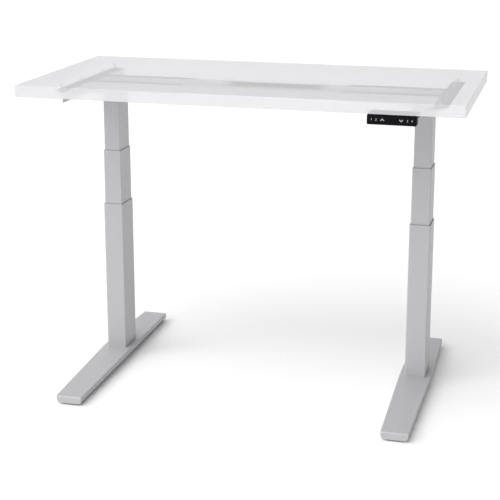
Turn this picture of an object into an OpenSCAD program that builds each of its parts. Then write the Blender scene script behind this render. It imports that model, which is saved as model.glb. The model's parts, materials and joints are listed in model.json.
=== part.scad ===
// Height adjustable standing desk: two three-stage telescopic columns on low
// feet carry a steel frame, a thick top, a control box and a handset.
// Millimetres, +X to the user's right, +Y to the back, +Z up. The origin is on
// the floor at the middle of the feet's footprint.

/* [Desk] */
// Height of the top surface as modelled
table_h = 898; // [700:1:1200]
// Width of the top
top_w = 1220; // [1160:10:1600]
// Depth of the top
top_d = 610; // [520:10:800]
// Thickness of the top
top_t = 32; // [28:1:42]
// Distance of the top's front edge in front of the column centres
top_reach = 376; // [300:1:450]
// Distance between the two column centres
leg_gap = 925; // [880:5:1180]

/* [Feet] */
// Length of a foot
foot_len = 743; // [600:1:860]
// Distance of the column centre behind the middle of the foot
leg_y = 55.5; // [20:0.5:90]
// Width of a foot under the column
foot_w = 90; // [82:1:130]
// Width of a foot at its tips
foot_tip_w = 75; // [62:1:90]
// Height of the foot's steel section at its tips
foot_h = 22; // [20:1:40]
// Height of the tips' underside above the floor
foot_gap = 4; // [3.5:0.5:15]
// Rise of the foot's top from the tips to the column
foot_rise = 9; // [0:0.5:20]
// Rise of the foot's underside from the tips to the column
foot_arch = 10; // [0:0.5:20]
// Radius of the upper edge across a tip
nose_r = 4; // [1:0.5:6]
// Wall of the foot
foot_wall = 2.5; // [1.5:0.5:4]
// Radius of the foot's lower long edges
foot_r = 11; // [4:0.5:12]
// Distance of the levellers from the foot's tips
leveller_in = 30; // [26:1:80]

/* [Columns] */
// Width of the outer tube
tube_w = 60; // [56:1:90]
// Depth of the outer tube
tube_d = 90; // [72:1:130]
// Length of the outer tube
outer_len = 457; // [400:1:560]
// Wall of the outer tube
outer_wall = 2; // [1.5:0.1:3]
// Wall of the middle and inner tubes
inner_wall = 1.5; // [1:0.1:2.5]
// Corner radius of the outer tube
tube_r = 4; // [3:0.5:8]
// Gap between one tube and the next
stage_gap = 1; // [0.8:0.1:1.4]
// Height of each glide
glide_h = 40; // [20:1:60]
// Height of the middle tube's lip above the outer tube when lowered
mid_lip = 12; // [6:1:30]
// Height of the inner tube's lip above the middle tube when lowered
inner_lip = 26; // [10:1:40]

/* [Drive] */
// Diameter of the drive screw
screw_d = 12; // [10:0.5:14]
// Diameter of the hollow screw
hollow_d = 20; // [18:0.5:24]
// Wall of the plain tubes round the screws
push_wall = 2; // [1.5:0.5:3]
// Diameter of the motor
motor_d = 41; // [32:1:43]
// Length of the motor can
motor_len = 62; // [50:1:70]
// Length of the gearbox
gearbox_len = 28; // [20:1:36]

/* [Frame under the top] */
// Height of the rails
rail_h = 26; // [24:1:40]
// Depth of one rail
rail_d = 30; // [24:1:40]
// Depth of the whole pair of rails
beam_d = 140; // [130:1:180]
// Thickness of the rails and the side brackets
sheet_t = 2.5; // [2:0.1:3]
// Distance of the end rails' inner ends from the middle
end_rail_x = 235; // [150:1:280]
// Distance that a centre rail reaches into an end rail
rail_lap = 90; // [60:1:110]
// Thickness of the leg's head plate
head_t = 6; // [5:0.5:10]
// Thickness of the end plate
end_t = 5; // [4:0.5:8]
// Width of a side bracket
bracket_w = 39; // [34:1:60]
// Reach of a side bracket's web below the rails
bracket_drop = 2; // [1:0.5:8]
// Size of the corner that is cut off a side bracket's flange at its front
bracket_cut = 36; // [10:1:38]
// Reach of a side bracket in front of the column centre
bracket_front = 276; // [180:1:300]
// Reach of a side bracket behind the column centre
bracket_rear = 206; // [120:1:220]

/* [Control box] */
// Width of the control box
box_w = 263; // [180:1:300]
// Depth of the control box
box_d = 74; // [50:1:76]
// Distance of the control box to the right of the middle
box_x = 28; // [-60:1:60]
// Height of the control box without its lid
box_h = 24; // [20:1:36]

/* [Handset] */
// Width of the handset
handset_w = 127; // [127:1:160]
// Height of the handset's face
handset_h = 26; // [24:1:34]
// Corner radius of the handset's face
handset_r = 3; // [2:0.5:5]
// Distance of the handset to the right of the middle
handset_x = 424.5; // [0:0.5:500]
// Width of a number key
key_w = 10; // [8:0.5:10.5]
// Width of an arrow key
arrow_w = 13; // [11:0.5:15]
// Height of the keys
key_h = 15; // [12:0.5:17]

/* [Hidden] */

$fn = 48;
slack = 0.3;        // clearance round what turns or slides
thread_gap = 0.05;  // clearance of a screw in its own thread
journal_gap = 0.1;  // clearance of a journal in its bearing
free_gap = 1;       // clearance where nothing guides
over = 1;           // how far a cut runs past a face

LEFT = -1;
RIGHT = 1;
FRONT = -1;
REAR = 1;
leg_x = leg_gap / 2;

// heights of the fixed parts
tip_top = foot_gap + foot_h;
foot_top = tip_top + foot_rise;
base_t = 8;          // plate welded into the outer tube's foot
base_top = foot_top + base_t;
outer_top = foot_top + outer_len;

// foot and levellers
edge_r = 1.5;        // upper long edges of the foot
slot_lip = foot_r + 6;
slot_end = 3;
foot_plate_t = 5;
foot_plate_top = foot_top - foot_wall;
foot_plate_w = foot_w - 2 * foot_wall - 8;
leg_bolt_r = 4;
leg_bolt_x = tube_w / 2 - 12;
leg_bolt_y = tube_d / 2 - 13;
leveller_y = foot_len / 2 - leveller_in;
stud_r = 4;
stud_top = tip_top - foot_wall - 4;
boss_r = 8;
boss_bottom = foot_gap + 3;
pad_r = 18;
pad_t = foot_gap - 1;
pad_edge = 1;

// hexagon sizes across flats, and heights
hex_small = 10;
hex_small_h = 4;
nut_small_h = 5;
hex_large = 13;
hex_large_h = 5.3;
nut_large_h = 6.5;

// the stack above the outer tubes when the desk is lowered
top_under = table_h - top_t;
lowest_h = outer_top + mid_lip + inner_lip + head_t + rail_h + top_t;
rise = table_h - lowest_h;   // how far the top stands above its lowest place
mid_rise = rise / 2;         // the middle tubes go half as far

// tube sections, from the outside in
mid_w = tube_w - 2 * (outer_wall + stage_gap);
mid_d = tube_d - 2 * (outer_wall + stage_gap);
inner_w = mid_w - 2 * (inner_wall + stage_gap);
inner_d = mid_d - 2 * (inner_wall + stage_gap);
mid_r = tube_r - 1;
inner_r = mid_r - 0.5;
glide_t = stage_gap - 0.2;

// middle stage
mid_plate_t = 6;
stage_stop = 6;      // the stages stand this far apart when lowered
mid_bottom = base_top + stage_stop + mid_rise;
mid_top = outer_top + mid_lip + mid_rise;
mid_plate_top = mid_bottom + mid_plate_t;

// inner stage
inner_top = top_under - rail_h - head_t;
inner_bottom = base_top + stage_stop + mid_plate_t + 4 + rise;

// drive train from the motor down
motor_top = inner_top + head_t + 18;
motor_bottom = motor_top - motor_len;
gearbox_bottom = motor_bottom - gearbox_len;
block_t = 14;
block_bottom = gearbox_bottom - block_t;
collar_t = 4.7;
collar_r = screw_d / 2 + 3;
journal_r = screw_d / 2 - 1;
nut_flange_t = 4;
shaft_in = 8;         // reach of the drive screw's end into the gearbox
motor_gap = 1.5;
carrier_gap = 6;
carrier_top = block_bottom - rise + mid_rise - carrier_gap - nut_flange_t;
head_len = 46;
carrier_head = carrier_top - head_len;
head_shoulder = 6;
shoulder = carrier_head + head_shoulder;
journal_len = 16;
carrier_nut_bottom = shoulder + journal_len + 3;
ring_t = 1.6;
ring_over = 2.5;
lug_h = 12;
drive_gap = 16;       // clearance under the drive screw with the column fully down
drive_bottom = base_top + drive_gap + rise;
hollow_bore_r = screw_d / 2 + 0.5;
groove_r = hollow_bore_r + 1.4;
lug_w = 3;
push_in_r = hollow_d / 2 + 1;
push_out_r = push_in_r + push_wall;
push_nut_h = 24;
push_nut_gap = 2;
push_nut_top = carrier_head - mid_rise - push_nut_gap;
carrier_in_r = push_out_r + 2;
carrier_out_r = carrier_in_r + push_wall;
carrier_nut_r = hollow_d / 2 + 2;
hollow_journal_r = hollow_d / 2 - 1.5;

// frame under the top
rail_bottom = top_under - rail_h;
rail_y = (beam_d - rail_d) / 2;
rail_gap = beam_d - 2 * rail_d;
head_w = 96;
end_x = leg_x + head_w / 2;          // outer face of the end plate
lap_end = end_rail_x + rail_lap;
bolt_z = top_under - rail_h / 2;
bracket_bolt_y = rail_gap / 2 - 10;
bracket_bolt_r = 4;
frame_bolt_r = 3;
head_bolt_x = head_w / 2 - 16;
rail_bolt_in = 20;

// top and its screws
top_front = leg_y - top_reach;
top_y = top_front + top_d / 2;
top_screw_y = [-0.88 * bracket_front, -0.36 * bracket_front, 0.34 * bracket_rear, 0.84 * bracket_rear];
top_r = 2;
wood_r = 2.5;
wood_len = 20;

// control box
box_bottom = top_under - box_h;
box_lid_t = 2.5;
box_r = 4;
box_wall = 2;
socket_depth = 10;
ear_t = 3;
ear_len = 13;
ear_w = 12;
ear_y = box_d / 2 - 12;
sockets = 4;
socket_pitch = 16;
socket_w = 12;
socket_bottom = box_bottom + 7;
socket_top = box_bottom + 16;
slots = 11;
slot_pitch = 9;
slot_x = -50;         // middle slot, from the middle of the lid

// handset
face_t = 3.5;
face_top = top_under - 0.5;
face_z = face_top - handset_h / 2;
body_front = top_front + face_t;
block_d = 20;
tail_d = 40;
tail_h = 10;
handset_wall = 2.5;
blend_in = 4;         // how far the tail runs into the block behind the face
pocket_r = 5;
screw_seat = top_under - 4;
cap_r = 1;            // corners of the keys and the window
rim = 2;              // ledge behind the window
window_w = 28;
window_h = key_h - 1;
window_t = 1.5;
board_t = 1.6;
board_front = body_front + 2.6;
key_proud = 0.3;
key_lip = 0.6;
number_x = 46;     // middle of a pair of number keys, from the handset's middle
number_pitch = 12;
arrow_x = 24;
small_r = 2.2;
small_len = 14;
handset_screw_x = handset_w / 2 - 14;
hollow_w = handset_w - 2 * handset_wall;
hollow_h = handset_h - 2 * handset_wall;

// ---------- shared shapes ----------

module round_rect(w, d, r) {
    union() {
        square([w - 2 * r, d], center = true);
        square([w, d - 2 * r], center = true);
        for (x = [-1, 1], y = [-1, 1])
            translate([x * (w / 2 - r), y * (d / 2 - r)]) circle(r);
    }
}

module box_tube(w, d, r, wall, z0, z1) {
    translate([0, 0, z0]) linear_extrude(z1 - z0) difference() {
        round_rect(w, d, r);
        round_rect(w - 2 * wall, d - 2 * wall, max(r - wall, 0.5));
    }
}

module rod(r, z0, z1) {
    translate([0, 0, z0]) cylinder(r = r, h = z1 - z0);
}

module ring(r_out, r_in, z0, z1) {
    difference() {
        rod(r_out, z0, z1);
        rod(r_in, z0 - over, z1 + over);
    }
}

module hex_head(flat, z0, z1) {
    translate([0, 0, z0]) cylinder(r = flat / sqrt(3), h = z1 - z0, $fn = 6);
}

// a block from corner to corner
module block(low, high) {
    translate(low) cube(high - low);
}

module at_leg(side) {
    translate([side * leg_x, leg_y, 0]) children();
}

module both_legs() {
    for (side = [LEFT, RIGHT]) at_leg(side) children();
}

// turns a shape made along +Z so that it points along +Y
module along_y() {
    rotate([-90, 0, 0]) children();
}

// turns a shape made along +Z so that it points along +X
module along_x() {
    rotate([0, 90, 0]) children();
}

// ---------- feet ----------

// how far along from the tip (0) to the column (1) a place y is
function foot_part(y) = y < leg_y
    ? min(1, (y + foot_len / 2) / (leg_y - tube_d / 2 + foot_len / 2))
    : min(1, (foot_len / 2 - y) / (foot_len / 2 - leg_y - tube_d / 2));

// places along the foot, and how far its top is lowered there: a quarter circle at each tip
nose = [for (a = [90:-22.5:0]) [nose_r * (1 - sin(a)), nose_r * (1 - cos(a))]];
function foot_places(end) = concat(
    [for (p = nose) [-foot_len / 2 + end + p[0], p[1]]],
    [for (side = [FRONT, REAR]) [leg_y + side * tube_d / 2, 0]],
    [for (i = [len(nose) - 1:-1:0]) [foot_len / 2 - end - nose[i][0], nose[i][1]]]
);

// width, underside and top at a place
function foot_width(y) = foot_tip_w + (foot_w - foot_tip_w) * foot_part(y);
function foot_under(y) = foot_gap + foot_arch * foot_part(y);
function foot_over(y) = tip_top + foot_rise * foot_part(y);

// half of the foot's cross section is an arc below and a smaller one above
function foot_profile(half, z0, z1, r_low, r_up) = let (right = concat(
    [for (a = [-90:15:0]) [half - r_low + r_low * cos(a), z0 + r_low + r_low * sin(a)]],
    [for (a = [0:45:90]) [half - r_up + r_up * cos(a), z1 - r_up + r_up * sin(a)]]
)) concat(right, [for (i = [len(right) - 1:-1:0]) [-right[i][0], right[i][1]]]);

// the cross section carried from station to station
module foot_form(inset, r_low, r_up) {
    places = foot_places(inset);
    rings = [for (p = places) foot_profile(
        foot_width(p[0]) / 2 - inset, foot_under(p[0]) + inset,
        foot_over(p[0]) - inset - p[1], r_low, r_up
    )];
    n = len(rings[0]);
    last = len(places) - 1;
    polyhedron(
        points = [for (i = [0:last], p = rings[i]) [p[0], places[i][0], p[1]]],
        faces = concat(
            [[for (j = [n - 1:-1:0]) j]],
            [for (i = [0:last - 1], j = [0:n - 1])
                [i * n + j, i * n + (j + 1) % n, (i + 1) * n + (j + 1) % n, (i + 1) * n + j]],
            [[for (j = [0:n - 1]) last * n + j]]
        )
    );
}

// the long slot that leaves the formed section open below
module foot_slot() {
    tip = foot_len / 2 - foot_wall - slot_end;
    places = [-tip, leg_y - tube_d / 2, leg_y + tube_d / 2, tip];
    halves = [for (y = places) foot_width(y) / 2 - slot_lip];
    translate([0, 0, foot_gap - over]) linear_extrude(foot_arch + foot_wall + 2 * over) polygon(concat(
        [for (i = [0:3]) [halves[i], places[i]]],
        [for (i = [3:-1:0]) [-halves[i], places[i]]]
    ));
}

module leg_bolt_places() {
    for (x = [-1, 1], y = [-1, 1])
        translate([x * leg_bolt_x, y * leg_bolt_y, 0]) children();
}

module foot(side) {
    color("silver") translate([side * leg_x, 0, 0]) difference() {
        union() {
            difference() {
                foot_form(0, foot_r, edge_r);
                foot_form(foot_wall, foot_r - foot_wall, edge_r / 2);
                foot_slot();
            }
            leveller_places() rod(boss_r, boss_bottom, tip_top - foot_wall / 2);
        }
        leveller_places() rod(stud_r + slack, foot_gap, stud_top + 2);
        translate([0, leg_y, 0]) leg_bolt_places()
            rod(leg_bolt_r + slack, foot_top - 2 * foot_wall, foot_top + over);
    }
}

module leveller_places() {
    for (end = [FRONT, REAR]) translate([0, end * leveller_y, 0]) children();
}

module foot_plates() {
    color("dimgray") both_legs() difference() {
        block([-foot_plate_w / 2, -tube_d / 2, foot_plate_top - foot_plate_t],
            [foot_plate_w / 2, tube_d / 2, foot_plate_top]);
        leg_bolt_places() rod(leg_bolt_r + slack, foot_gap, foot_top);
    }
}

module foot_bolts() {
    head = foot_plate_top - foot_plate_t;
    color("gray") both_legs() leg_bolt_places() union() {
        hex_head(hex_large, head - hex_large_h, head);
        rod(leg_bolt_r - thread_gap, head - over, base_top - 2);
    }
}

module leveller(side, end) {
    color("black") translate([side * leg_x, end * leveller_y, 0]) union() {
        cylinder(r1 = pad_r - pad_edge, r2 = pad_r, h = pad_edge);
        rod(pad_r, pad_edge, pad_t - pad_edge);
        translate([0, 0, pad_t - pad_edge]) cylinder(r1 = pad_r, r2 = pad_r - 4, h = pad_edge);
        rod(stud_r, pad_t - over, stud_top - 1);
    }
}

// ---------- outer stage ----------

module outer_tube(side) {
    color("silver") at_leg(side) difference() {
        union() {
            box_tube(tube_w, tube_d, tube_r, outer_wall, foot_top, outer_top);
            translate([0, 0, foot_top]) linear_extrude(base_t)
                round_rect(tube_w - outer_wall, tube_d - outer_wall, tube_r - outer_wall / 2);
        }
        leg_bolt_places() rod(leg_bolt_r, foot_top - over, base_top + over);
    }
}

module outer_tube_glides() {
    w = tube_w - 2 * outer_wall;
    d = tube_d - 2 * outer_wall;
    color("dimgray") both_legs()
        box_tube(w, d, tube_r - outer_wall, glide_t, outer_top - glide_h, outer_top);
}

module push_tubes() {
    color("gray") both_legs() ring(push_out_r, push_in_r, base_top, push_nut_top - push_nut_h);
}

module push_tube_nuts() {
    color("white") both_legs()
        ring(push_out_r, hollow_d / 2 + slack, push_nut_top - push_nut_h, push_nut_top);
}

// ---------- middle stage ----------

module middle_tube(side) {
    color("silver") at_leg(side) difference() {
        union() {
            box_tube(mid_w, mid_d, mid_r, inner_wall, mid_bottom, mid_top);
            translate([0, 0, mid_bottom]) linear_extrude(mid_plate_t)
                round_rect(mid_w - inner_wall, mid_d - inner_wall, mid_r - inner_wall / 2);
        }
        rod(push_out_r + free_gap, mid_bottom - over, mid_plate_top + over);
    }
}

module middle_glides(side) {
    w = mid_w + 2 * glide_t;
    d = mid_d + 2 * glide_t;
    in_w = mid_w - 2 * inner_wall;
    in_d = mid_d - 2 * inner_wall;
    color("dimgray") at_leg(side) {
        box_tube(w, d, mid_r + glide_t, glide_t, mid_bottom, mid_bottom + glide_h);
        box_tube(in_w, in_d, mid_r - inner_wall, glide_t, mid_top - glide_h, mid_top);
    }
}

// stands on the middle tube's plate and holds the drive screw's nut up inside
module screw_carrier(side) {
    color("gray") at_leg(side) difference() {
        rod(carrier_out_r, mid_plate_top, carrier_top);
        rod(carrier_in_r, mid_plate_top - over, carrier_head);
        rod(hollow_d / 2 + slack, carrier_head - over, shoulder + slack);
        rod(hollow_journal_r + journal_gap, shoulder, carrier_top);
        rod(carrier_nut_r, shoulder + journal_len, carrier_top + over);
    }
}

module carrier_nut(side) {
    color("white") at_leg(side) difference() {
        union() {
            rod(carrier_nut_r, carrier_nut_bottom, carrier_top);
            rod(carrier_out_r - free_gap, carrier_top, carrier_top + nut_flange_t);
        }
        rod(screw_d / 2 + slack, shoulder, carrier_top + nut_flange_t + over);
    }
}

// turns in the carrier; two inside grooves take the drive screw's lugs
module hollow_screw(side) {
    ring_bottom = shoulder + journal_len + slack;
    color("lightgray") at_leg(side) difference() {
        union() {
            rod(hollow_d / 2, mid_bottom, shoulder);
            rod(hollow_journal_r, mid_bottom, ring_bottom + ring_t);
            rod(hollow_journal_r + ring_over, ring_bottom, ring_bottom + ring_t);
        }
        rod(hollow_bore_r, mid_bottom - over, carrier_top);
        block([-groove_r, -lug_w / 2 - slack, mid_bottom - over],
            [groove_r, lug_w / 2 + slack, shoulder]);
    }
}

// ---------- inner stage ----------

module inner_tube(side) {
    color("silver") at_leg(side) difference() {
        union() {
            box_tube(inner_w, inner_d, inner_r, inner_wall, inner_bottom, inner_top + head_t / 2);
            block([-head_w / 2, -beam_d / 2, inner_top],
                [head_w / 2, beam_d / 2, inner_top + head_t]);
        }
        rod(motor_d / 2 + motor_gap, inner_top - over, inner_top + head_t + over);
        head_bolt_places() rod(frame_bolt_r + slack, inner_top - over, inner_top + head_t + over);
    }
}

module head_bolt_places() {
    for (x = [-1, 1], y = [-1, 1]) translate([x * head_bolt_x, y * rail_y, 0]) children();
}

module inner_tube_glides() {
    w = inner_w + 2 * glide_t;
    d = inner_d + 2 * glide_t;
    color("dimgray") both_legs()
        box_tube(w, d, inner_r + glide_t, glide_t, inner_bottom, inner_bottom + glide_h);
}

// carries the desk's weight on the drive screw's collar
module bearing_blocks() {
    color("dimgray") both_legs() difference() {
        translate([0, 0, block_bottom]) linear_extrude(block_t)
            round_rect(inner_w - 2 * inner_wall, inner_d - 2 * inner_wall, inner_r - inner_wall);
        rod(journal_r + journal_gap, block_bottom - over, gearbox_bottom + over);
    }
}

module drive_screw(side) {
    color("lightgray") at_leg(side) union() {
        rod(screw_d / 2, drive_bottom, block_bottom - slack);
        rod(collar_r, block_bottom - slack - collar_t, block_bottom - slack);
        rod(journal_r, block_bottom - over, gearbox_bottom + shaft_in);
        block([-groove_r + slack, -lug_w / 2, drive_bottom],
            [groove_r - slack, lug_w / 2, drive_bottom + lug_h]);
    }
}

module gearbox(side) {
    flange_t = 5;
    flange_over = 0.8;
    color("gray") at_leg(side) difference() {
        union() {
            rod(motor_d / 2, gearbox_bottom, motor_bottom);
            rod(motor_d / 2 + flange_over, gearbox_bottom, gearbox_bottom + flange_t);
        }
        rod(journal_r + journal_gap, gearbox_bottom - over, gearbox_bottom + shaft_in + free_gap);
    }
}

// a can with a flux ring round it, a stepped cap and a bearing boss on top
module motor(side) {
    can_r = motor_d / 2 - 1;
    cap = 6;
    boss = 3;
    color("darkgray") at_leg(side) union() {
        rod(can_r, motor_bottom, motor_top - cap);
        rod(motor_d / 2, motor_bottom + 8, motor_top - 16);
        rod(can_r - 2, motor_top - cap, motor_top - boss);
        rod(6, motor_top - boss - over, motor_top);
    }
}

// ---------- frame under the top ----------

module end_plates() {
    color("silver") both_legs_mirrored() difference() {
        block([head_w / 2 - end_t, -beam_d / 2, rail_bottom], [head_w / 2, beam_d / 2, top_under]);
        bracket_bolt_places()
            rod(bracket_bolt_r + slack, head_w / 2 - end_t - over, head_w / 2 + over);
    }
}

// draws for the right leg and mirrors it to the left
module both_legs_mirrored() {
    for (side = [LEFT, RIGHT]) at_side(side) children();
}

module at_side(side) {
    if (side == RIGHT) at_leg(RIGHT) children();
    else at_leg(LEFT) mirror([1, 0, 0]) children();
}

module bracket_bolt_places() {
    for (y = [-bracket_bolt_y, bracket_bolt_y]) translate([0, y, bolt_z]) along_x() children();
}

// an angle: a web against the end plate and an outward flange under the top
module side_bracket(side) {
    web_x = head_w / 2;
    flange_x = web_x + bracket_w;
    web_bottom = rail_bottom - bracket_drop;
    color("silver") at_side(side) difference() {
        union() {
            block([web_x, -bracket_front, web_bottom], [web_x + sheet_t, bracket_rear, top_under]);
            translate([0, 0, top_under - sheet_t]) linear_extrude(sheet_t) polygon([
                [web_x, -bracket_front],
                [flange_x - bracket_cut, -bracket_front],
                [flange_x, -bracket_front + bracket_cut],
                [flange_x, bracket_rear],
                [web_x, bracket_rear]
            ]);
        }
        bracket_bolt_places() rod(bracket_bolt_r + slack, web_x - over, web_x + 2 * sheet_t);
        top_screw_places() rod(wood_r + slack, top_under - 2 * sheet_t, top_under + over);
    }
}

module top_screw_places() {
    for (y = top_screw_y) translate([head_w / 2 + bracket_w / 2, y, 0]) children();
}

// a C channel whose back is on its outer side, drawn for the front
module channel(x0, x1, y0, depth, z0, z1) {
    difference() {
        block([x0, y0, z0], [x1, y0 + depth, z1]);
        block([x0 - over, y0 + sheet_t, z0 + sheet_t], [x1 + over, y0 + depth + over, z1 - sheet_t]);
    }
}

// draws for the front right quarter of the frame and mirrors it to another
module at_quarter(side, end) {
    translate([0, leg_y, 0]) mirror([side == LEFT ? 1 : 0, 0, 0])
        mirror([0, end == REAR ? 1 : 0, 0]) children();
}

module rail_bolt_places() {
    for (x = [end_rail_x + rail_bolt_in, lap_end - rail_bolt_in]) translate([x, 0, bolt_z]) along_y()
        translate([0, 0, -beam_d / 2]) children();
}

module end_rail(side, end) {
    color("silver") at_quarter(side, end) difference() {
        channel(end_rail_x, end_x - end_t, -beam_d / 2, rail_d, rail_bottom, top_under);
        rail_bolt_places() rod(frame_bolt_r + slack, -over, 3 * sheet_t);
        translate([leg_x, 0, 0]) head_bolt_places()
            rod(frame_bolt_r + slack, rail_bottom - over, rail_bottom + 2 * sheet_t);
    }
}

module center_rail(end) {
    color("silver") difference() {
        at_quarter(RIGHT, end) channel(-lap_end, lap_end, sheet_t - beam_d / 2, rail_d - sheet_t,
            rail_bottom + sheet_t, top_under - sheet_t);
        for (side = [LEFT, RIGHT]) at_quarter(side, end) rail_bolt_places()
            rod(frame_bolt_r + slack, -over, 3 * sheet_t);
    }
}

// a bolt along +Z whose head's seat is at z0 and whose nut's seat is at z1
module through_bolt(z0, z1) {
    union() {
        hex_head(hex_small, z0 - hex_small_h, z0);
        rod(frame_bolt_r, z0 - over, z1 + nut_small_h);
        hex_head(hex_small, z1, z1 + nut_small_h);
    }
}

module frame_bolts() {
    color("gray") {
        for (side = [LEFT, RIGHT], end = [FRONT, REAR]) at_quarter(side, end)
            rail_bolt_places() through_bolt(0, 2 * sheet_t);
        both_legs() head_bolt_places() through_bolt(inner_top, rail_bottom + sheet_t);
    }
}

module bracket_bolts() {
    nut_seat = head_w / 2 - end_t;
    head_seat = head_w / 2 + sheet_t;
    color("gray") both_legs_mirrored() bracket_bolt_places() union() {
        hex_head(hex_large, nut_seat - nut_large_h, nut_seat);
        rod(bracket_bolt_r, nut_seat - over, head_seat + over);
        hex_head(hex_large, head_seat, head_seat + hex_large_h);
    }
}

// ---------- top ----------

module all_top_screws() {
    both_legs_mirrored() top_screw_places() children();
}

module desktop() {
    color([0.95, 0.95, 0.97, 0.6]) difference() {
        translate([0, top_y, top_under]) linear_extrude(top_t) round_rect(top_w, top_d, top_r);
        all_top_screws() rod(wood_r, top_under - over, top_under + wood_len);
        box_screw_places() rod(small_r, top_under - over, top_under + small_len);
        handset_screw_places() rod(small_r, top_under - over, top_under + small_len);
    }
}

// a pan head screw that points up into the top, its head's seat at z0
module up_screw(r, z0, length) {
    union() {
        translate([0, 0, z0 - 0.9 * r]) cylinder(r = 2 * r, h = 0.9 * r);
        translate([0, 0, z0 - 1.4 * r]) cylinder(r1 = 1.3 * r, r2 = 2 * r, h = 0.5 * r);
        rod(r - thread_gap, z0 - over, top_under + length - thread_gap);
    }
}

module top_screws() {
    color("gray") all_top_screws() up_screw(wood_r, top_under - sheet_t, wood_len);
}

// ---------- control box ----------

module box_screw_places() {
    for (x = [-1, 1], y = [-ear_y, ear_y])
        translate([box_x + x * (box_w / 2 + ear_len / 2), leg_y + y, 0]) children();
}

module control_box() {
    half_w = box_w / 2;
    half_d = box_d / 2;
    color([0.13, 0.13, 0.14]) difference() {
        translate([box_x, leg_y, 0]) difference() {
            union() {
                translate([0, 0, box_bottom]) linear_extrude(box_h) round_rect(box_w, box_d, box_r);
                for (y = [-ear_y, ear_y]) translate([0, y, top_under - ear_t])
                    linear_extrude(ear_t) round_rect(box_w + 2 * ear_len, ear_w, ear_t);
            }
            block([box_wall - half_w, box_wall - half_d, box_bottom - over],
                [half_w - socket_depth - box_wall, half_d - box_wall, top_under - box_wall]);
            for (i = [0:sockets - 1]) translate([0, (i - (sockets - 1) / 2) * socket_pitch, 0])
                block([half_w - socket_depth, -socket_w / 2, socket_bottom],
                    [half_w + over, socket_w / 2, socket_top]);
        }
        box_screw_places() rod(small_r + slack, box_bottom, top_under + over);
    }
}

module control_box_lid() {
    color([0.16, 0.16, 0.17]) translate([box_x, leg_y, box_bottom - box_lid_t]) difference() {
        linear_extrude(box_lid_t) round_rect(box_w, box_d, box_r);
        for (i = [0:slots - 1]) translate([slot_x + (i - (slots - 1) / 2) * slot_pitch, 0, -over])
            linear_extrude(box_lid_t + 2 * over) round_rect(3, 40, 1.4);
    }
}

module control_box_screws() {
    color("gray") box_screw_places() up_screw(small_r, top_under - ear_t, small_len);
}

// ---------- handset ----------

module at_handset() {
    translate([handset_x, 0, face_z]) children();
}

// a plate in the plane of the handset's face, from y0 to y1
module face_plate(w, h, r, y0, y1) {
    translate([0, y1, 0]) rotate([90, 0, 0]) linear_extrude(y1 - y0) round_rect(w, h, r);
}

module handset_screw_places() {
    for (x = [-handset_screw_x, handset_screw_x])
        translate([handset_x + x, body_front + block_d + tail_d / 2, 0]) children();
}

module handset_body() {
    back = body_front + block_d;
    color([0.1, 0.1, 0.11]) difference() {
        union() {
            at_handset() face_plate(handset_w, handset_h, handset_r, body_front, back);
            translate([handset_x, back + (tail_d - blend_in) / 2, top_under - tail_h])
                linear_extrude(tail_h) round_rect(handset_w, tail_d + blend_in, handset_r);
            block([handset_x - handset_w / 2 + handset_r, back - 14, face_top - handset_r],
                [handset_x + handset_w / 2 - handset_r, back, top_under]);
        }
        at_handset() face_plate(hollow_w, hollow_h, cap_r, body_front - over, back - handset_wall);
        handset_screw_places() rod(small_r + slack, top_under - tail_h - over, top_under + over);
        handset_screw_places() rod(pocket_r, top_under - tail_h - over, screw_seat);
    }
}

function key_place(i) = i == 0 ? -number_x - number_pitch / 2
    : i == 1 ? -number_x + number_pitch / 2
    : i == 2 ? -arrow_x
    : i == 3 ? arrow_x
    : i == 4 ? number_x - number_pitch / 2
    : number_x + number_pitch / 2;
function key_width(i) = i == 2 || i == 3 ? arrow_w : key_w;

module handset_face() {
    color([0.09, 0.09, 0.1]) at_handset() difference() {
        face_plate(handset_w, handset_h, handset_r, top_front, body_front);
        for (i = [0:5]) translate([key_place(i), 0, 0])
            face_plate(key_width(i) + 2 * slack, key_h + 2 * slack, cap_r + slack,
                top_front - over, body_front + over);
        face_plate(window_w, window_h, cap_r, top_front - over, top_front + window_t);
        face_plate(window_w - 2 * rim, window_h - 2 * rim, cap_r, top_front, body_front + over);
    }
}

module display_window() {
    color([0.03, 0.03, 0.04]) at_handset()
        face_plate(window_w, window_h, cap_r, top_front, top_front + window_t);
}

module handset_board() {
    color("darkgreen") at_handset()
        face_plate(hollow_w - free_gap, hollow_h - free_gap, cap_r, board_front, board_front + board_t);
}

module handset_screws() {
    color("gray") handset_screw_places() up_screw(small_r, screw_seat, small_len);
}

// a cap that stands just proud of the face, with a wider lip behind it
module key(i) {
    back = body_front + slack;
    color([0.12, 0.12, 0.13]) at_handset() translate([key_place(i), 0, 0]) union() {
        face_plate(key_width(i), key_h, cap_r, top_front - key_proud, back + over);
        face_plate(key_width(i) + 2 * key_lip, key_h + 4 * key_lip, cap_r, back, back + over);
    }
}

// ---------- nodes ----------

foot(LEFT);  // left_foot
foot(RIGHT);  // right_foot
foot_plates();
foot_bolts();
leveller(LEFT, FRONT);  // left_front_leveller
leveller(LEFT, REAR);  // left_rear_leveller
leveller(RIGHT, FRONT);  // right_front_leveller
leveller(RIGHT, REAR);  // right_rear_leveller
outer_tube(LEFT);  // left_outer_tube
outer_tube(RIGHT);  // right_outer_tube
outer_tube_glides();
push_tubes();
push_tube_nuts();
middle_tube(LEFT);  // left_middle_tube
middle_tube(RIGHT);  // right_middle_tube
middle_glides(LEFT);  // left_middle_glides
middle_glides(RIGHT);  // right_middle_glides
screw_carrier(LEFT);  // left_screw_carrier
screw_carrier(RIGHT);  // right_screw_carrier
carrier_nut(LEFT);  // left_carrier_nut
carrier_nut(RIGHT);  // right_carrier_nut
hollow_screw(LEFT);  // left_hollow_screw
hollow_screw(RIGHT);  // right_hollow_screw
drive_screw(LEFT);  // left_drive_screw
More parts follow.
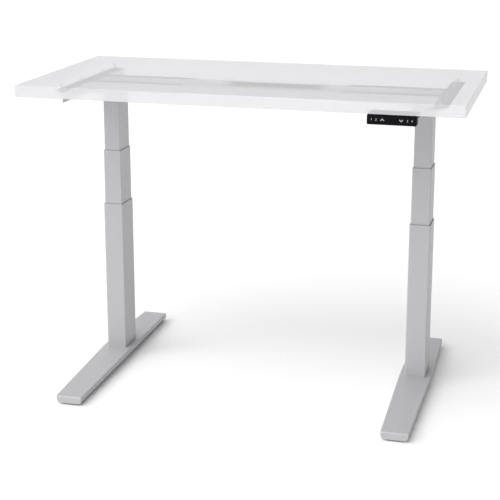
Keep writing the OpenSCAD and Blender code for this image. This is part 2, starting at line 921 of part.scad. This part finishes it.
drive_screw(RIGHT);  // right_drive_screw
inner_tube(LEFT);  // left_inner_tube
inner_tube(RIGHT);  // right_inner_tube
inner_tube_glides();
bearing_blocks();
gearbox(LEFT);  // left_gearbox
gearbox(RIGHT);  // right_gearbox
motor(LEFT);  // left_motor
motor(RIGHT);  // right_motor
end_plates();
side_bracket(LEFT);  // left_side_bracket
side_bracket(RIGHT);  // right_side_bracket
end_rail(LEFT, FRONT);  // left_front_rail
end_rail(LEFT, REAR);  // left_rear_rail
end_rail(RIGHT, FRONT);  // right_front_rail
end_rail(RIGHT, REAR);  // right_rear_rail
center_rail(FRONT);  // front_center_rail
center_rail(REAR);  // rear_center_rail
frame_bolts();
bracket_bolts();
desktop();
top_screws();
control_box();
control_box_lid();
control_box_screws();
handset_body();
handset_face();
display_window();
handset_board();
handset_screws();
key(0);  // key_1
key(1);  // key_2
key(2);  // key_up
key(3);  // key_down
key(4);  // key_3
key(5);  // key_4
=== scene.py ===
import json
import math

import bpy
import numpy as np
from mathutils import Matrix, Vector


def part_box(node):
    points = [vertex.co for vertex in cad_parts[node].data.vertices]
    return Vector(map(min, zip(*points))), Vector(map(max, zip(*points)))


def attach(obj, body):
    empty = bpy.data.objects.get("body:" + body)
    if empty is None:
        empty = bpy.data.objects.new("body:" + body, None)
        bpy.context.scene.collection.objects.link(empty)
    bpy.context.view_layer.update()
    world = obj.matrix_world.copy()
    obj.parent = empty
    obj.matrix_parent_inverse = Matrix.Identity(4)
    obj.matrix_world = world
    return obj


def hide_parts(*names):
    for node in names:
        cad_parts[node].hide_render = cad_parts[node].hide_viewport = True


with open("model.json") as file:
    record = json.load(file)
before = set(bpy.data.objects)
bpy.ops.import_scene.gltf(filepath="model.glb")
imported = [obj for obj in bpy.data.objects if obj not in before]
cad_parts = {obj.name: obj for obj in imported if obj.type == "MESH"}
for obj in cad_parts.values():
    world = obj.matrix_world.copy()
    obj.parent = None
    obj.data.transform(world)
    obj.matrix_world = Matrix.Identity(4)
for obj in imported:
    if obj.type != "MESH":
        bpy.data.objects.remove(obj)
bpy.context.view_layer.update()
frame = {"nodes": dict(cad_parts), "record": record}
MM = 0.001
SIDES = ("left", "right")


# ---------------------------------------------------------------- camera, light and floor

def add_camera():
    """A long lens from the front right, a little above the top."""
    data = bpy.data.cameras.new("camera")
    data.lens = 91.42
    data.sensor_width = 36.0
    data.shift_y = -0.1
    camera = bpy.data.objects.new("camera", data)
    camera.location = (0.9042, -3.4567, 1.4499)
    camera.rotation_euler = (math.radians(90 - 14.32), 0, math.radians(15.16))
    bpy.context.scene.collection.objects.link(camera)
    bpy.context.scene.camera = camera


def add_sun(name, strength, azimuth, elevation, spread):
    """A broad soft light that comes from azimuth (0 is the front, 90 the right) and elevation."""
    data = bpy.data.lights.new(name, "SUN")
    data.energy = strength
    data.angle = math.radians(spread)
    light = bpy.data.objects.new(name, data)
    light.rotation_euler = (math.radians(90 - elevation), 0, math.radians(azimuth))
    bpy.context.scene.collection.objects.link(light)


def add_world(strength, slope):
    """A soft white surround, brighter on the left: strength * (1 - slope * x), where x is the direction's share
    towards the right. The background itself is plain white."""
    world = bpy.data.worlds.new("studio")
    bpy.context.scene.world = world
    world.use_nodes = True
    nodes, links = world.node_tree.nodes, world.node_tree.links
    nodes.clear()
    direction = nodes.new("ShaderNodeTexCoord")
    split = nodes.new("ShaderNodeSeparateXYZ")
    fade = nodes.new("ShaderNodeMath")
    fade.operation = "MULTIPLY_ADD"
    fade.inputs[1].default_value = -strength * slope
    fade.inputs[2].default_value = strength
    fill = nodes.new("ShaderNodeBackground")
    fill.inputs["Color"].default_value = (1.0, 0.995, 1.0, 1)
    seen = nodes.new("ShaderNodeBackground")
    seen.inputs["Color"].default_value = (1, 1, 1, 1)
    seen.inputs["Strength"].default_value = 1.1
    path = nodes.new("ShaderNodeLightPath")
    mix = nodes.new("ShaderNodeMixShader")
    out = nodes.new("ShaderNodeOutputWorld")
    links.new(direction.outputs["Generated"], split.inputs[0])
    links.new(split.outputs["X"], fade.inputs[0])
    links.new(fade.outputs[0], fill.inputs["Strength"])
    links.new(path.outputs["Is Camera Ray"], mix.inputs["Fac"])
    links.new(fill.outputs[0], mix.inputs[1])
    links.new(seen.outputs[0], mix.inputs[2])
    links.new(mix.outputs[0], out.inputs["Surface"])


def add_floor():
    """One wide pale plane under the feet."""
    half = 40.0
    mesh = bpy.data.meshes.new("floor")
    mesh.from_pydata([(-half, -half, 0), (half, -half, 0), (half, half, 0), (-half, half, 0)], [], [(0, 1, 2, 3)])
    floor = bpy.data.objects.new("floor", mesh)
    bpy.context.scene.collection.objects.link(floor)
    material = bpy.data.materials.new("pale_floor")
    material.use_nodes = True
    shader = material.node_tree.nodes["Principled BSDF"]
    shader.inputs["Base Color"].default_value = (0.98, 0.98, 0.98, 1)
    shader.inputs["Roughness"].default_value = 0.9
    shader.inputs["Specular IOR Level"].default_value = 0.1
    mesh.materials.append(material)


# ---------------------------------------------------------------- shared material effects

def new_group(name, inputs, outputs):
    """A shader node group with named sockets: inputs are (name, kind, default)."""
    group = bpy.data.node_groups.new(name, "ShaderNodeTree")
    for label, kind, default in inputs:
        socket = group.interface.new_socket(name=label, in_out="INPUT", socket_type=kind)
        socket.default_value = default
    for label, kind in outputs:
        group.interface.new_socket(name=label, in_out="OUTPUT", socket_type=kind)
    return group, group.nodes.new("NodeGroupInput"), group.nodes.new("NodeGroupOutput")


def add_noise(group, coords, scale_socket, detail, roughness=0.5):
    noise = group.nodes.new("ShaderNodeTexNoise")
    noise.inputs["Detail"].default_value = detail
    noise.inputs["Roughness"].default_value = roughness
    group.links.new(coords, noise.inputs["Vector"])
    group.links.new(scale_socket, noise.inputs["Scale"])
    return noise.outputs["Fac"]


def spread_value(group, factor, base, spread, clamp=True):
    """base + (factor - 0.5) * spread, where base is a number or a socket."""
    centred = group.nodes.new("ShaderNodeMath")
    centred.operation = "SUBTRACT"
    centred.inputs[1].default_value = 0.5
    group.links.new(factor, centred.inputs[0])
    add = group.nodes.new("ShaderNodeMath")
    add.operation = "MULTIPLY_ADD"
    add.use_clamp = clamp
    group.links.new(centred.outputs[0], add.inputs[0])
    group.links.new(spread, add.inputs[1])
    if isinstance(base, float):
        add.inputs[2].default_value = base
    else:
        group.links.new(base, add.inputs[2])
    return add.outputs[0]


def make_fine_grain():
    """A fine even grain, as on powder coat or moulded plastic: a height and a roughness that vary together."""
    group, given, result = new_group(
        "fine_grain",
        [("Grain per metre", "NodeSocketFloat", 800.0), ("Roughness", "NodeSocketFloat", 0.5),
         ("Spread", "NodeSocketFloat", 0.1)],
        [("Height", "NodeSocketFloat"), ("Roughness", "NodeSocketFloat")],
    )
    coords = group.nodes.new("ShaderNodeTexCoord").outputs["Object"]
    fine = add_noise(group, coords, given.outputs["Grain per metre"], 2.0)
    group.links.new(fine, result.inputs["Height"])
    rough = spread_value(group, fine, given.outputs["Roughness"], given.outputs["Spread"])
    group.links.new(rough, result.inputs["Roughness"])
    return group


def make_tone_drift():
    """A slow change of brightness over the surface: the colour times 1 plus a little low noise."""
    group, given, result = new_group(
        "tone_drift",
        [("Color", "NodeSocketColor", (0.5, 0.5, 0.5, 1)), ("Drift", "NodeSocketFloat", 0.05),
         ("Waves per metre", "NodeSocketFloat", 4.0)],
        [("Color", "NodeSocketColor")],
    )
    coords = group.nodes.new("ShaderNodeTexCoord").outputs["Object"]
    slow = add_noise(group, coords, given.outputs["Waves per metre"], 3.0, 0.6)
    gain = spread_value(group, slow, 1.0, given.outputs["Drift"], clamp=False)
    scale = group.nodes.new("ShaderNodeVectorMath")
    scale.operation = "SCALE"
    group.links.new(given.outputs["Color"], scale.inputs[0])
    group.links.new(gain, scale.inputs["Scale"])
    group.links.new(scale.outputs[0], result.inputs["Color"])
    return group


def make_drawn_lines():
    """Fine lines along one axis, as left by turning or drawing: noise on coordinates stretched on the others."""
    group, given, result = new_group(
        "drawn_lines",
        [("Stretch", "NodeSocketVector", (1.0, 1.0, 40.0)), ("Lines per metre", "NodeSocketFloat", 60.0),
         ("Roughness", "NodeSocketFloat", 0.35), ("Spread", "NodeSocketFloat", 0.2)],
        [("Height", "NodeSocketFloat"), ("Roughness", "NodeSocketFloat")],
    )
    coords = group.nodes.new("ShaderNodeTexCoord").outputs["Object"]
    stretch = group.nodes.new("ShaderNodeVectorMath")
    stretch.operation = "MULTIPLY"
    group.links.new(coords, stretch.inputs[0])
    group.links.new(given.outputs["Stretch"], stretch.inputs[1])
    lines = add_noise(group, stretch.outputs[0], given.outputs["Lines per metre"], 4.0, 0.7)
    group.links.new(lines, result.inputs["Height"])
    rough = spread_value(group, lines, given.outputs["Roughness"], given.outputs["Spread"])
    group.links.new(rough, result.inputs["Roughness"])
    return group


FINE_GRAIN = make_fine_grain()
TONE_DRIFT = make_tone_drift()
DRAWN_LINES = make_drawn_lines()


def new_material(name, color, metallic=0.0, alpha=1.0, drift=0.04, waves=4.0, specular=0.5):
    """A Principled material whose colour drifts slowly; returns it with its shader."""
    material = bpy.data.materials.new(name)
    material.use_nodes = True
    tree = material.node_tree
    shader = tree.nodes["Principled BSDF"]
    shader.inputs["Metallic"].default_value = metallic
    shader.inputs["Alpha"].default_value = alpha
    shader.inputs["Specular IOR Level"].default_value = specular
    tone = tree.nodes.new("ShaderNodeGroup")
    tone.node_tree = TONE_DRIFT
    tone.inputs["Color"].default_value = (*color, 1)
    tone.inputs["Drift"].default_value = drift
    tone.inputs["Waves per metre"].default_value = waves
    tree.links.new(tone.outputs["Color"], shader.inputs["Base Color"])
    return material, shader


def add_bump(material, shader, effect, depth):
    """Feeds an effect's roughness and height into the shader; depth is in metres."""
    tree = material.node_tree
    bump = tree.nodes.new("ShaderNodeBump")
    bump.inputs["Strength"].default_value = 1.0
    bump.inputs["Distance"].default_value = depth
    tree.links.new(effect.outputs["Height"], bump.inputs["Height"])
    tree.links.new(bump.outputs["Normal"], shader.inputs["Normal"])
    tree.links.new(effect.outputs["Roughness"], shader.inputs["Roughness"])


def add_grain(material, shader, per_metre, roughness, spread, depth):
    effect = material.node_tree.nodes.new("ShaderNodeGroup")
    effect.node_tree = FINE_GRAIN
    effect.inputs["Grain per metre"].default_value = per_metre
    effect.inputs["Roughness"].default_value = roughness
    effect.inputs["Spread"].default_value = spread
    add_bump(material, shader, effect, depth)


def add_lines(material, shader, stretch, per_metre, roughness, spread, depth):
    effect = material.node_tree.nodes.new("ShaderNodeGroup")
    effect.node_tree = DRAWN_LINES
    effect.inputs["Stretch"].default_value = stretch
    effect.inputs["Lines per metre"].default_value = per_metre
    effect.inputs["Roughness"].default_value = roughness
    effect.inputs["Spread"].default_value = spread
    add_bump(material, shader, effect, depth)


# ---------------------------------------------------------------- materials

def silver_powder_coat():
    material, shader = new_material("silver_powder_coat", (0.452, 0.453, 0.463), metallic=0.15, drift=0.03)
    add_grain(material, shader, 900.0, 0.42, 0.12, 0.00004)
    return material


def clear_white_top():
    material, shader = new_material("clear_white_top", (0.76, 0.76, 0.775), alpha=0.65, drift=0.015)
    add_grain(material, shader, 450.0, 0.34, 0.06, 0.00002)
    return material


def black_moulding():
    material, shader = new_material("black_moulding", (0.005, 0.005, 0.006), drift=0.2, specular=0.06)
    add_grain(material, shader, 1600.0, 0.5, 0.15, 0.00005)
    return material


def black_key():
    material, shader = new_material("black_key", (0.006, 0.006, 0.007), drift=0.1, specular=0.08)
    add_grain(material, shader, 1200.0, 0.38, 0.08, 0.00002)
    return material


def display_glass():
    material, shader = new_material("display_glass", (0.003, 0.003, 0.004), drift=0.05, specular=0.08)
    add_grain(material, shader, 300.0, 0.16, 0.03, 0.000005)
    return material


def pale_print():
    material, shader = new_material("pale_print", (0.52, 0.53, 0.56), drift=0.05)
    add_grain(material, shader, 2000.0, 0.6, 0.1, 0.00001)
    return material


def zinc_plate():
    material, shader = new_material("zinc_plate", (0.55, 0.55, 0.53), metallic=0.9, drift=0.15, waves=60.0)
    add_grain(material, shader, 1500.0, 0.38, 0.2, 0.00003)
    return material


def turned_steel():
    material, shader = new_material("turned_steel", (0.50, 0.51, 0.53), metallic=1.0, drift=0.06)
    add_lines(material, shader, (1.0, 1.0, 40.0), 60.0, 0.32, 0.2, 0.00003)
    return material


def dark_steel():
    material, shader = new_material("dark_steel", (0.10, 0.10, 0.105), metallic=0.6, drift=0.12, waves=20.0)
    add_grain(material, shader, 700.0, 0.5, 0.2, 0.00004)
    return material


def motor_metal():
    material, shader = new_material("motor_metal", (0.46, 0.47, 0.49), metallic=0.9, drift=0.05)
    add_lines(material, shader, (1.0, 1.0, 12.0), 80.0, 0.36, 0.15, 0.00003)
    return material


def glide_plastic():
    material, shader = new_material("glide_plastic", (0.035, 0.035, 0.038), drift=0.08)
    add_grain(material, shader, 600.0, 0.4, 0.1, 0.00002)
    return material


def nut_plastic():
    material, shader = new_material("nut_plastic", (0.78, 0.78, 0.74), drift=0.04)
    add_grain(material, shader, 500.0, 0.42, 0.1, 0.00002)
    return material


def foot_rubber():
    material, shader = new_material("foot_rubber", (0.016, 0.016, 0.017), drift=0.2, specular=0.25)
    add_grain(material, shader, 900.0, 0.72, 0.12, 0.00008)
    return material


def board_green():
    material, shader = new_material("board_green", (0.01, 0.09, 0.03), drift=0.1, waves=40.0)
    add_grain(material, shader, 800.0, 0.35, 0.1, 0.00002)
    return material


MATERIALS = {
    "silver_paint": silver_powder_coat(),
    "desktop_white": clear_white_top(),
    "black_plastic": black_moulding(),
    "key_black": black_key(),
    "display_black": display_glass(),
    "dark_steel": dark_steel(),
    "screw_steel": turned_steel(),
    "zinc": zinc_plate(),
    "motor_metal": motor_metal(),
    "glide_plastic": glide_plastic(),
    "nut_plastic": nut_plastic(),
    "board_green": board_green(),
    "foot_rubber": foot_rubber(),
}
PRINT = pale_print()
SLOT_OF = {entry["node"]: entry["material_slot"] for entry in frame["record"]["subparts"]}
BODY_OF = {node: body for body, members in frame["record"]["behaviour"]["bodies"].items() for node in members}


def finish_cad_nodes():
    """Every CAD node gets its finish in all of its material slots."""
    for name, node in frame["nodes"].items():
        for slot in node.material_slots:
            slot.material = MATERIALS[SLOT_OF[name]]


# ---------------------------------------------------------------- surfaces

def grid_faces(rows, cols, close_rows):
    """Quads of a grid of rows whose columns run round in a ring; close_rows joins the last row to the first."""
    i = np.arange(rows if close_rows else rows - 1)[:, None]
    j = np.arange(cols)[None, :]
    a = i * cols + j
    b = i * cols + (j + 1) % cols
    c = (i + 1) % rows * cols + (j + 1) % cols
    d = (i + 1) % rows * cols + j
    return np.stack([a, b, c, d], axis=-1).reshape(-1, 4)


def signed_volume(points, faces):
    """The sum over the faces of the volume between each face and the origin, from its corners in turn."""
    total = 0.0
    for face in faces:
        corners = points[face]
        first, second, third = corners[0], corners[1:-1], corners[2:]
        total += np.einsum("ij,ij->", np.cross(np.broadcast_to(first, second.shape), second), third) / 6
    return total


def skin(rings, close_rows=False):
    """A closed skin over an array of rings (rows, points, 3). Open ends get one flat face each."""
    rows, cols, _ = rings.shape
    points = rings.reshape(-1, 3)
    faces = [list(face) for face in grid_faces(rows, cols, close_rows)]
    if not close_rows:
        faces.append(list(range(cols))[::-1])
        faces.append(list(range((rows - 1) * cols, rows * cols)))
    if signed_volume(points - points.mean(axis=0), faces) < 0:
        faces = [face[::-1] for face in faces]
    return points, faces


def add_piece(name, skins, slot, body, replaces=(), material=None, angle=40.0):
    """One object from several skins, in metres, with even normals on its flats and its edges sharp past an angle."""
    points, faces, start = [], [], 0
    for skin_points, skin_faces in skins:
        points.append(skin_points)
        faces += [[int(index) + start for index in face] for face in skin_faces]
        start += len(skin_points)
    mesh = bpy.data.meshes.new(name)
    mesh.from_pydata(np.concatenate(points).tolist(), [], faces)
    mesh.polygons.foreach_set("use_smooth", np.ones(len(mesh.polygons), dtype=bool))
    mesh.set_sharp_from_angle(angle=math.radians(angle))
    mesh.materials.append(material or MATERIALS[slot])
    piece = bpy.data.objects.new(name, mesh)
    bpy.context.scene.collection.objects.link(piece)
    even = piece.modifiers.new("even_normals", "WEIGHTED_NORMAL")
    even.keep_sharp = True
    even.weight = 100
    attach(piece, body)
    if replaces:
        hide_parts(*replaces)
    return piece


def arc(center, radius, start, end, count):
    """Points of an arc of a circle, from the start angle to the end angle in degrees."""
    angles = np.radians(np.linspace(start, end, count))
    return np.stack([center[0] + radius * np.cos(angles), center[1] + radius * np.sin(angles)], axis=-1)


def round_rect(width, depth, radius, count=7):
    """A rectangle about the origin whose corners are quarter circles."""
    x, y = width / 2 - radius, depth / 2 - radius
    return np.concatenate([
        arc((x, y), radius, 0, 90, count), arc((-x, y), radius, 90, 180, count),
        arc((-x, -y), radius, 180, 270, count), arc((x, -y), radius, 270, 360, count),
    ])


def box_of(node):
    low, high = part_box(node)
    return np.array(low), np.array(high)


def lifted(loop, z):
    return np.column_stack([loop, np.full(len(loop), z)])


# ---------------------------------------------------------------- columns

OUTER_WALL, OUTER_ROUND, OUTER_PLATE = 2.0 * MM, 4.0 * MM, 8.0 * MM
MIDDLE_WALL, MIDDLE_ROUND, MIDDLE_PLATE = 1.5 * MM, 3.0 * MM, 6.0 * MM
MIDDLE_HOLE = 14.0 * MM
TUBE_LIP = 0.6 * MM


def carried_round(section, width, depth, radius, center, count=9):
    """A wall's own section, as (inset, height) pairs in order round it, carried round a rounded rectangle: each ring
    is the rectangle moved inwards by the section's inset at the section's height."""
    rings = np.stack([
        lifted(round_rect(width - 2 * inset, depth - 2 * inset, max(radius - inset, 0.3 * MM), count), z)
        for inset, z in section
    ])
    rings[..., :2] += center
    return skin(rings, close_rows=True)


def wall_section(wall, z0, z1, lip):
    """Up the outside, over an upper edge whose two corners are quarter circles of radius lip, and down the inside."""
    outside = arc((lip, z1 - lip), lip, 180, 90, 5)
    inside = arc((wall - lip, z1 - lip), lip, 90, 0, 5)
    return np.concatenate([[(0.0, z0)], outside, inside, [(wall, z0)]])


def welded_plate(loop, hole_r, z0, z1, center):
    """A flat plate from z0 to z1 with the loop's outline. With a hole, the outline's edges are cut into short lengths,
    and rings of the outline and of a circle whose points stand at the same angles close on each other."""
    if not hole_r:
        rings = np.stack([lifted(loop, z0), lifted(loop, z1)])
        rings[..., :2] += center
        return skin(rings)
    share = np.linspace(0, 1, 12, endpoint=False)[None, :, None]
    loop = (loop[:, None] * (1 - share) + np.roll(loop, -1, axis=0)[:, None] * share).reshape(-1, 2)
    angles = np.arctan2(loop[:, 1], loop[:, 0])
    circle = hole_r * np.stack([np.cos(angles), np.sin(angles)], axis=-1)
    rings = np.stack([lifted(loop, z0), lifted(loop, z1), lifted(circle, z1), lifted(circle, z0)])
    rings[..., :2] += center
    return skin(rings, close_rows=True)


def add_tube(node, wall, radius, plate_thick, hole_r):
    """A telescopic tube with an eased lip, and the plate welded in at its lower end."""
    low, high = box_of(node)
    center, size = (low + high)[:2] / 2, high - low
    tube = carried_round(wall_section(wall, low[2], high[2], TUBE_LIP), size[0], size[1], radius, center)
    inner = round_rect(size[0] - 2 * wall, size[1] - 2 * wall, max(radius - wall, 0.3 * MM), 5)
    plate = welded_plate(inner, hole_r, low[2], low[2] + plate_thick, center)
    add_piece(f"{node}_shell", [tube, plate], "silver_paint", BODY_OF[node], [node])


def add_columns():
    """Outer and middle tubes on both sides; the inner tubes keep their CAD shape."""
    for side in SIDES:
        add_tube(f"{side}_outer_tube", OUTER_WALL, OUTER_ROUND, OUTER_PLATE, None)
        add_tube(f"{side}_middle_tube", MIDDLE_WALL, MIDDLE_ROUND, MIDDLE_PLATE, MIDDLE_HOLE)


# ---------------------------------------------------------------- feet

FOOT_WALL = 2.5 * MM
FOOT_NOSE = 4.0 * MM
FOOT_EDGE = 11.0 * MM
FOOT_UPPER_EDGE = 1.5 * MM
FOOT_TIP_WIDTH = 75.0 * MM
FOOT_TIP_HEIGHT = 22.0 * MM
FOOT_TIP_GAP = 4.0 * MM
FOOT_RISE = 9.0 * MM
FOOT_ARCH = 10.0 * MM
FOOT_LIP = 6.0 * MM
BOSS_RADIUS = 8.0 * MM
BOSS_BORE = 4.3 * MM
BOSS_LIFT = 3.0 * MM


def foot_outline(half, under, top, edge, upper):
    """The right half of a cross section is a quarter circle of radius edge below and one of radius upper above; the
    left half mirrors it. Points run from the underside's right to its left, as (x, z)."""
    right = np.concatenate([
        arc((half - edge, under + edge), edge, -90, 0, 9), arc((half - upper, top - upper), upper, 0, 90, 4),
    ])
    left = right[::-1] * np.array([-1.0, 1.0])
    return np.concatenate([right, left])


def foot_sizes(y, length, column_low, column_high, column_width):
    """Half width, underside and top at y: straight from each tip to the column, level beside it."""
    along = np.minimum((y + length / 2) / (column_low + length / 2), (length / 2 - y) / (length / 2 - column_high))
    along = np.clip(along, 0.0, 1.0)
    half = (FOOT_TIP_WIDTH + (column_width - FOOT_TIP_WIDTH) * along) / 2
    under = FOOT_TIP_GAP + FOOT_ARCH * along
    top = FOOT_TIP_GAP + FOOT_TIP_HEIGHT + FOOT_RISE * along
    return half, under, top


def add_foot(side):
    """The formed foot: a C section, open below, carried from tip to tip, and two end walls whose upper edge is a
    quarter circle. The C runs round the outside and back round the inside at a distance of one wall."""
    node = f"{side}_foot"
    low, high = box_of(node)
    column_low, column_high = box_of(f"{side}_outer_tube")
    x, length, width = (low[0] + high[0]) / 2, high[1] - low[1], high[0] - low[0]
    tip = length / 2 - FOOT_NOSE
    places = np.concatenate([
        np.linspace(-tip, column_low[1], 12), np.linspace(column_high[1], tip, 10),
    ])
    c_rings, lip = [], FOOT_EDGE + FOOT_LIP
    for y in places:
        half, under, top = foot_sizes(y, length, column_low[1], column_high[1], width)
        outer = foot_outline(half, under, top, FOOT_EDGE, FOOT_UPPER_EDGE)
        inner = foot_outline(
            half - FOOT_WALL, under + FOOT_WALL, top - FOOT_WALL, FOOT_EDGE - FOOT_WALL, 0.5 * FOOT_UPPER_EDGE,
        )[::-1]
        mouth = half - lip
        ring = np.concatenate([
            [(mouth, under)], outer, [(-mouth, under), (-mouth, under + FOOT_WALL)], inner,
            [(mouth, under + FOOT_WALL)],
        ])
        c_rings.append(np.column_stack([ring[:, 0] + x, np.full(len(ring), y), ring[:, 1]]))
    skins = [skin(np.stack(c_rings))]
    for end in (-1, 1):
        turn = np.radians(np.linspace(90, 0, 9))
        offsets, drops = FOOT_NOSE * (1 - np.sin(turn)), FOOT_NOSE * (1 - np.cos(turn))
        rings = []
        for offset, drop in zip(offsets, drops):
            y = end * (length / 2 - offset)
            half, under, top = foot_sizes(y, length, column_low[1], column_high[1], width)
            ring = foot_outline(half - 0.35 * drop, under + 0.35 * drop, top - drop, FOOT_EDGE, FOOT_UPPER_EDGE)
            rings.append(np.column_stack([ring[:, 0] + x, np.full(len(ring), y), ring[:, 1]]))
        skins.append(skin(np.stack(rings)))
        skins.append(leveller_boss(side, end))
    add_piece(f"{node}_steel", skins, "silver_paint", BODY_OF[node], [node], angle=30.0)


def leveller_boss(side, end):
    """The threaded boss that a leveller's stud runs in: a short turned sleeve."""
    low, high = box_of(f"{side}_{'front' if end < 0 else 'rear'}_leveller")
    center = (low + high)[:2] / 2
    bottom = FOOT_TIP_GAP + BOSS_LIFT
    top = FOOT_TIP_GAP + FOOT_TIP_HEIGHT - FOOT_WALL / 2
    section = [(BOSS_RADIUS, bottom), (BOSS_RADIUS, top), (BOSS_BORE, top), (BOSS_BORE, bottom)]
    return turned(section, center)


def turned(section, center, count=32):
    """A closed section of (radius, height) pairs turned round a vertical axis at center."""
    angles = np.linspace(0, 2 * np.pi, count, endpoint=False)
    circle = np.stack([np.cos(angles), np.sin(angles)], axis=-1)
    rings = np.stack([lifted(center + radius * circle, z) for radius, z in section])
    return skin(rings, close_rows=True)


# ---------------------------------------------------------------- top

def add_desktop():
    """The slab: rings of a rounded rectangle, in along a quarter circle at the lower and at the upper edge."""
    low, high = box_of("desktop")
    center, size = (low + high)[:2] / 2, high - low
    ease = 1.8 * MM
    lower = arc((ease, low[2] + ease), ease, 270, 180, 6)
    upper = arc((ease, high[2] - ease), ease, 180, 90, 6)
    rings = np.stack([
        lifted(round_rect(size[0] - 2 * inset, size[1] - 2 * inset, 2.6 * MM - 0.5 * inset, 6), z)
        for inset, z in np.concatenate([lower, upper])
    ])
    rings[..., :2] += center
    add_piece("desktop_slab", [skin(rings)], "desktop_white", BODY_OF["desktop"], ["desktop"])


# ---------------------------------------------------------------- handset

def pillow(center, width, height, radius, front, back, rise):
    """A key cap facing -Y: rings of a rounded rectangle that draw in along a quarter ellipse towards the front."""
    turn = np.radians(np.linspace(0, 80, 6))
    insets = np.concatenate([[0.0], rise * (1 - np.cos(turn))])
    ys = np.concatenate([[back], front + rise * (1 - np.sin(turn))])
    rings = []
    for inset, y in zip(insets, ys):
        loop = round_rect(width - 2 * inset, height - 2 * inset, radius - 0.5 * inset, 5)
        rings.append(np.column_stack([loop[:, 0] + center[0], np.full(len(loop), y), loop[:, 1] + center[1]]))
    return skin(np.stack(rings))


def add_keys():
    """Six key caps, each with the wider lip that holds it behind the face."""
    for key in KEYS:
        low, high = box_of(key)
        center = ((low[0] + high[0]) / 2, (low[2] + high[2]) / 2)
        lip_x, lip_z = 0.6 * MM, 1.2 * MM
        width, height = high[0] - low[0] - 2 * lip_x, high[2] - low[2] - 2 * lip_z
        cap = pillow(center, width, height, 1.0 * MM, low[1] + 0.06 * MM, high[1] - 1.0 * MM, 0.5 * MM)
        lip = pillow(center, width + 2 * lip_x, height + 2 * lip_z, 1.0 * MM, high[1] - 1.0 * MM, high[1], 0.1 * MM)
        add_piece(f"{key}_cap", [cap, lip], "key_black", BODY_OF[key], [key])


def ribbon(path, width, front, back):
    """A flat stroke in the plane of the handset's face: at each point of the path the width is laid across the
    path's direction, which is the mean of the directions before and after it, and widened at a corner."""
    path = np.array(path, float)
    steps = np.diff(path, axis=0)
    steps /= np.linalg.norm(steps, axis=1)[:, None]
    before, after = np.vstack([steps[:1], steps]), np.vstack([steps, steps[-1:]])
    mean = before + after
    mean /= np.linalg.norm(mean, axis=1)[:, None]
    reach = width / 2 / np.maximum(np.einsum("ij,ij->i", mean, before), 0.5)
    across = np.column_stack([-mean[:, 1], mean[:, 0]]) * reach[:, None]
    left, right = path + across, path - across
    rings = np.stack([
        np.column_stack([left[:, 0], np.full(len(left), front), left[:, 1]]),
        np.column_stack([right[:, 0], np.full(len(left), front), right[:, 1]]),
        np.column_stack([right[:, 0], np.full(len(left), back), right[:, 1]]),
        np.column_stack([left[:, 0], np.full(len(left), back), left[:, 1]]),
    ], axis=1)
    return skin(rings)


def figure_strokes(kind):
    """Strokes of a number or an arrow in a box 1 wide and 2 high, about its middle."""
    if kind == "1":
        return [[(-0.45, 0.6), (0.05, 1.0), (0.05, -1.0)]]
    if kind == "2":
        top = arc((0.0, 0.45), 0.5, 160, -40, 12)
        return [np.concatenate([top, [(-0.5, -0.95), (0.55, -0.95)]])]
    if kind == "3":
        upper = arc((-0.05, 0.5), 0.47, 150, -90, 12)
        lower = arc((-0.05, -0.47), 0.5, 90, -150, 12)
        return [upper, lower]
    if kind == "4":
        return [[(0.2, -1.0), (0.2, 1.0), (-0.6, -0.4), (0.6, -0.4)]]
    if kind == "up":
        return [[(-1.0, -0.5), (0.0, 0.5), (1.0, -0.5)]]
    return [[(-1.0, 0.5), (0.0, -0.5), (1.0, 0.5)]]


def add_figures():
    """The printed figure on each key, a hair proud of the cap."""
    for key, (kind, size, width) in KEYS.items():
        low, high = box_of(key)
        center = np.array([(low[0] + high[0]) / 2, (low[2] + high[2]) / 2])
        front = low[1]
        strokes = [
            ribbon(center + size * np.array(stroke), width, front, front + 0.12 * MM)
            for stroke in figure_strokes(kind)
        ]
        add_piece(f"{key}_figure", strokes, "key_black", BODY_OF[key], material=PRINT)


NUMBER = (2.3 * MM, 0.9 * MM)  # size and stroke width
ARROW = (4.6 * MM, 1.6 * MM)
KEYS = {
    "key_1": ("1", *NUMBER), "key_2": ("2", *NUMBER), "key_up": ("up", *ARROW),
    "key_down": ("down", *ARROW), "key_3": ("3", *NUMBER), "key_4": ("4", *NUMBER),
}


# ---------------------------------------------------------------- closing

add_camera()
add_world(0.72, 0.75)
add_sun("key", 1.75, -30, 46, 60)
add_floor()
finish_cad_nodes()
add_columns()
for foot_side in SIDES:
    add_foot(foot_side)
add_desktop()
add_keys()
add_figures()

bpy.context.scene.view_settings.view_transform = "Standard"
